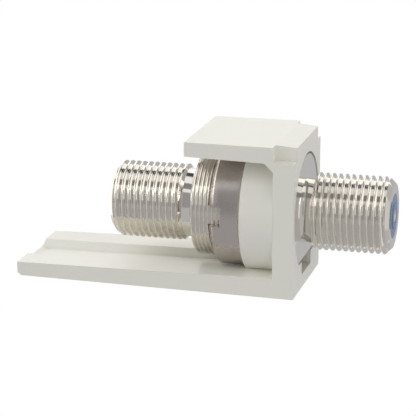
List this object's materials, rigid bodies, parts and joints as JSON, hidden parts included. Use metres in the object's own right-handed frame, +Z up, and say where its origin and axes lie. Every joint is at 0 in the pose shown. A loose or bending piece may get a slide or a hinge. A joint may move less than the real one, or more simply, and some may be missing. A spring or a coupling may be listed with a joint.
{
  "type": "f-type coaxial coupler in a snap-in housing",
  "caption": "Coaxial coupler with a threaded port at each end, held by a ring nut in a snap-in panel housing with a long latch arm.",
  "frame": {"origin": "on the connector's axis, in the plane of the housing's front face", "axes": "+X along the connector's axis and out of the front port, +Z up toward the housing's top plate, +Y toward the far side of the housing"},
  "size_m": [0.0457, 0.0156, 0.0184],
  "materials": {
    "housing_plastic": "moulded ABS, warm off-white, smooth with a soft gloss",
    "nickel_plate": "turned and threaded brass with bright nickel plate",
    "satin_nickel": "turned brass with dull nickel plate, fine lathe lines",
    "insulator_blue": "moulded blue plastic, satin",
    "contact_plate": "tin plated spring bronze"
  },
  "bodies": {
    "root": {"housing": "housing_plastic", "connector_body": "nickel_plate", "ring_nut": "satin_nickel", "front_insulator": "insulator_blue", "rear_insulator": "insulator_blue", "center_contact": "contact_plate"}
  },
  "joints": []
}
